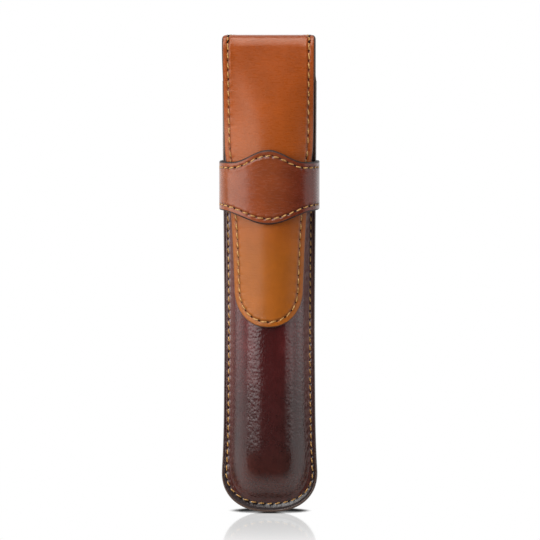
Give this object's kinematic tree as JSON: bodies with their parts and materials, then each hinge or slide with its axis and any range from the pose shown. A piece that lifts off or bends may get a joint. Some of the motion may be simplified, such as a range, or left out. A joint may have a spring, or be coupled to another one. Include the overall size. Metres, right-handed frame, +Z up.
{
  "type": "single pen holder",
  "caption": "Leather sleeve for one pen: a wet-moulded stitched pouch with a folded flap whose rounded tongue passes under a wavy-edged keeper band.",
  "frame": {"origin": "bottom centre of the bounding box: under the pouch's foot, in the middle of its width and depth", "axes": "+Z runs up from the pouch's foot to the crown, +Y points out of the sleeve's flat back, and +X runs across it, to the right in the front view"},
  "size_m": [0.0358, 0.022, 0.1667],
  "materials": {
    "pouch_leather": "hand-dyed burgundy vegetable-tanned leather, waxed to a soft shine",
    "flap_leather": "orange-tan vegetable-tanned leather with a darker dyed edge",
    "tongue_leather": "golden-tan vegetable-tanned leather",
    "band_leather": "chestnut vegetable-tanned leather with a grey-brown painted edge",
    "lining": "thin napped lining leather",
    "thread": "waxed golden thread"
  },
  "bodies": {
    "pouch": {"back_panel": "pouch_leather", "back_lining": "lining", "front_panel": "pouch_leather", "front_lining": "lining", "keeper_band": "band_leather", "keeper_facing": "lining", "front_seam_thread": "thread", "back_seam_thread": "thread", "back_thread_left": "thread", "back_thread_right": "thread", "band_thread_lower": "thread", "band_thread_upper": "thread"},
    "crown": {"crown_leather": "flap_leather", "crown_lining": "lining", "crown_thread_left": "thread", "crown_thread_right": "thread"},
    "flap": {"flap_leather": "flap_leather", "flap_lining": "lining", "flap_thread_left": "thread", "flap_thread_right": "thread", "tongue_leather": "tongue_leather", "tongue_lining": "lining", "tongue_thread": "thread"}
  },
  "joints": [
    {"name": "crown_hinge", "type": "hinge", "parent": "pouch", "child": "crown", "pos_m": [0, 0.00858, 0.16493], "axis": [-1, 0, 0], "range_deg": [0, 105], "stiffness_Nm_per_rad": 0.05, "deforming": ["tongue_leather", "tongue_lining", "tongue_thread"]},
    {"name": "flap_hinge", "type": "hinge", "parent": "crown", "child": "flap", "pos_m": [0, -0.00748, 0.16493], "axis": [-1, 0, 0], "range_deg": [0, 105], "stiffness_Nm_per_rad": 0.05, "deforming": ["tongue_leather", "tongue_lining", "tongue_thread"]}
  ],
  "couplings": [
    {"joint": "flap_hinge", "follows": "crown_hinge", "ratio": 1}
  ]
}
